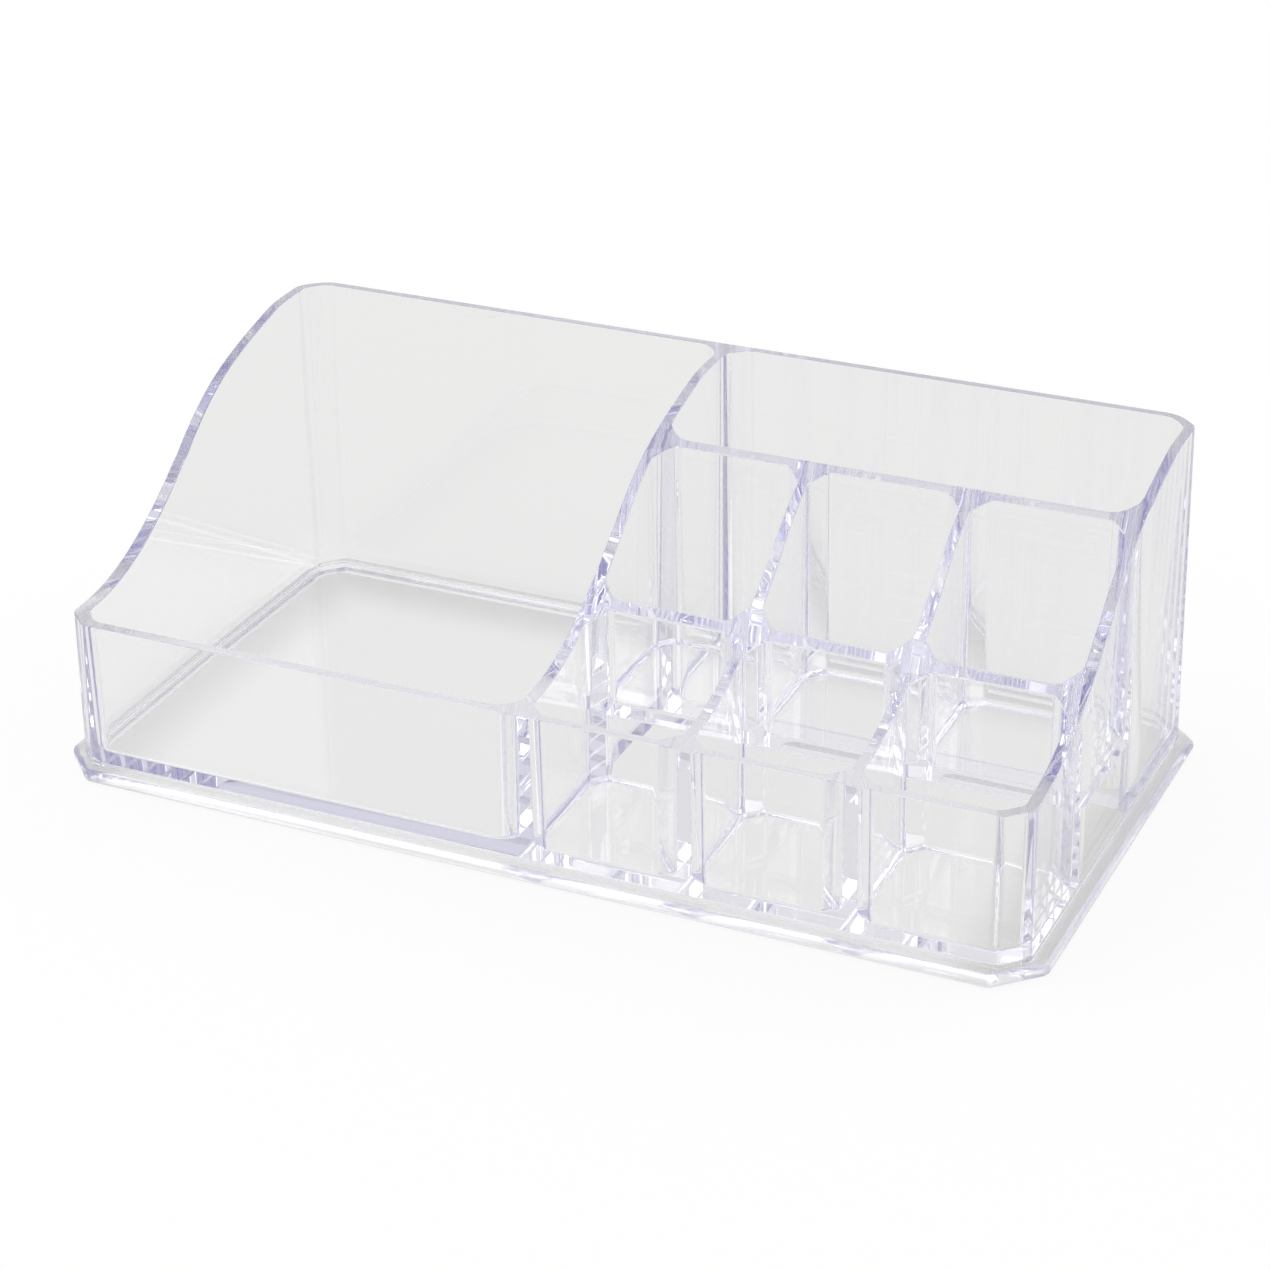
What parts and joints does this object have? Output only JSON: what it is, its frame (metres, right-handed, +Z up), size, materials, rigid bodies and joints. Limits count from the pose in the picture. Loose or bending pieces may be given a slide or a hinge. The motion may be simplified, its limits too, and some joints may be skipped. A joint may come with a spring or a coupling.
{
  "type": "vanity organizer",
  "caption": "Clear moulded vanity organizer with a low-fronted tray, a rear slot and stepped rows of square cells under S-shaped sloping side rims, on a projecting base flange.",
  "frame": {"origin": "on the resting surface, under the middle of the base flange", "axes": "+X along the front to the viewer's right, +Y to the back, +Z up"},
  "size_m": [0.221, 0.1164, 0.0752],
  "materials": {
    "clear_polystyrene": "polished clear moulding"
  },
  "bodies": {
    "root": {"base_flange": "clear_polystyrene", "back_wall": "clear_polystyrene", "front_wall": "clear_polystyrene", "left_wall": "clear_polystyrene", "right_wall": "clear_polystyrene", "tray_divider": "clear_polystyrene", "slot_divider": "clear_polystyrene", "step_divider": "clear_polystyrene", "raised_cell_divider_left": "clear_polystyrene", "raised_cell_divider_right": "clear_polystyrene", "front_cell_divider_left": "clear_polystyrene", "front_cell_divider_right": "clear_polystyrene", "tray_floor": "clear_polystyrene", "slot_floor": "clear_polystyrene", "raised_cell_floor_left": "clear_polystyrene", "raised_cell_floor_middle": "clear_polystyrene", "raised_cell_floor_right": "clear_polystyrene", "front_cell_floor_left": "clear_polystyrene", "front_cell_floor_middle": "clear_polystyrene", "front_cell_floor_right": "clear_polystyrene"}
  },
  "joints": []
}
